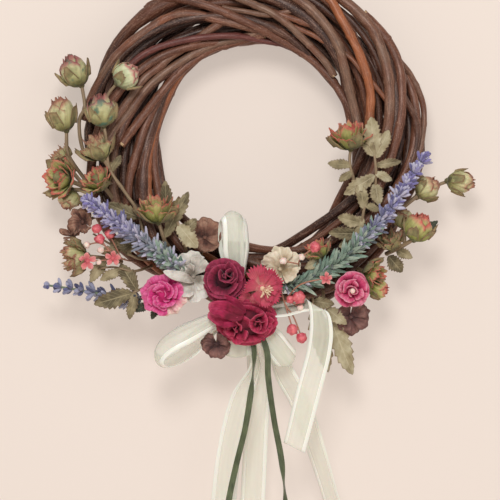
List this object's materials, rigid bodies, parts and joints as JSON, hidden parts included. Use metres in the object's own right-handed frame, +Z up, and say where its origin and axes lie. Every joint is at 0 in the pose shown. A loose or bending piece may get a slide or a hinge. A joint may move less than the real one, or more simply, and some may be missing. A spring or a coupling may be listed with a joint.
{
  "type": "lavender wreath",
  "caption": "Hanging door wreath of wound willow rods with lavender, cloth roses, rose buds, berries and trailing sheer ribbons.",
  "frame": {"origin": "the point at the top of the ring's hole where its rods rest on a nail", "axes": "+Z up, -Y towards the viewer of the hung wreath, +X to the right seen from the front"},
  "size_m": [0.4351, 0.1, 0.5635],
  "materials": {
    "bark_outer": "smooth peeled bark, satin",
    "bark_inner": "smooth bark, satin",
    "bark_core": "dark bark in shade",
    "cloth_plum": "dyed cloth petals, soft sheen",
    "cloth_wine": "dyed cloth petals, soft sheen",
    "cloth_crimson": "dyed cloth petals with pinked edges",
    "cloth_pink": "dyed cloth petals, magenta to white",
    "stamens_cream": "matte threads with bead tips",
    "lavender_violet": "flocked",
    "lavender_indigo": "flocked",
    "bud_green": "dyed cloth petals, green with blush tips",
    "bud_mint": "dyed cloth petals, pale green",
    "bud_beige": "dyed cloth petals, beige green",
    "berry_coral": "satin plastic berries",
    "ribbon_organza": "sheer woven organza with satin edges",
    "ribbon_satin": "satin woven ribbon",
    "leaf_sage": "dyed cloth, matte",
    "leaf_dark": "dyed cloth, matte",
    "hydrangea_brown": "dried looking cloth, matte",
    "hydrangea_white": "dried looking cloth, matte",
    "petal_cream": "cloth, matte"
  },
  "bodies": {
    "root": {"rod_outer_1": "bark_outer", "rod_outer_2": "bark_outer", "rod_outer_3": "bark_outer", "rod_outer_4": "bark_outer", "rod_outer_5": "bark_outer", "rod_inner_1": "bark_inner", "rod_inner_2": "bark_inner", "rod_inner_3": "bark_inner", "rod_inner_4": "bark_inner", "rod_inner_5": "bark_inner", "rod_inner_6": "bark_inner", "rod_inner_7": "bark_inner", "rod_core_1": "bark_core", "stamens_crimson": "stamens_cream", "rose_burgundy_upper": "cloth_plum", "rose_burgundy_lower": "cloth_wine", "flower_crimson": "cloth_crimson", "rose_pink_left": "cloth_pink", "rose_pink_right": "cloth_pink", "lavender_left_upper": "lavender_violet", "lavender_left_lower": "lavender_indigo", "lavender_right": "lavender_violet", "bud_upper_left": "bud_green", "bud_round_left": "bud_mint", "bud_middle_left": "bud_green", "buds_tall_left": "bud_green", "bud_cluster_left": "bud_green", "bud_small_left": "bud_green", "bud_open_left": "bud_green", "bud_low_left": "bud_beige", "buds_right_edge": "bud_beige", "buds_right": "bud_green", "buds_lower_right": "bud_green", "bud_bow_right": "bud_beige", "berries_left": "berry_coral", "berries_right_upper": "berry_coral", "berries_right_lower": "berry_coral", "organza_bow": "ribbon_organza", "organza_tail_front": "ribbon_organza", "organza_tail_left": "ribbon_organza", "organza_tail_middle": "ribbon_organza", "organza_tail_right": "ribbon_organza", "satin_left": "ribbon_satin", "satin_right": "ribbon_satin", "leaf_trefoil_left": "leaf_sage", "leaves_dark_left": "leaf_dark", "leaves_behind_lavender": "leaf_sage", "leaves_inner_left": "leaf_sage", "leafy_stem_upper_right": "leaf_sage", "bud_stem_right": "bud_beige", "leafy_stem_right": "leaf_sage", "leaves_low_right": "leaf_sage", "leaf_behind_ribbon": "leaf_sage", "hydrangea_brown_left": "hydrangea_brown", "hydrangea_brown_upper": "hydrangea_brown", "hydrangea_white": "hydrangea_white", "hydrangea_mauve_low": "hydrangea_brown", "hydrangea_mauve_right": "hydrangea_brown", "flower_cream": "petal_cream"}
  },
  "joints": []
}
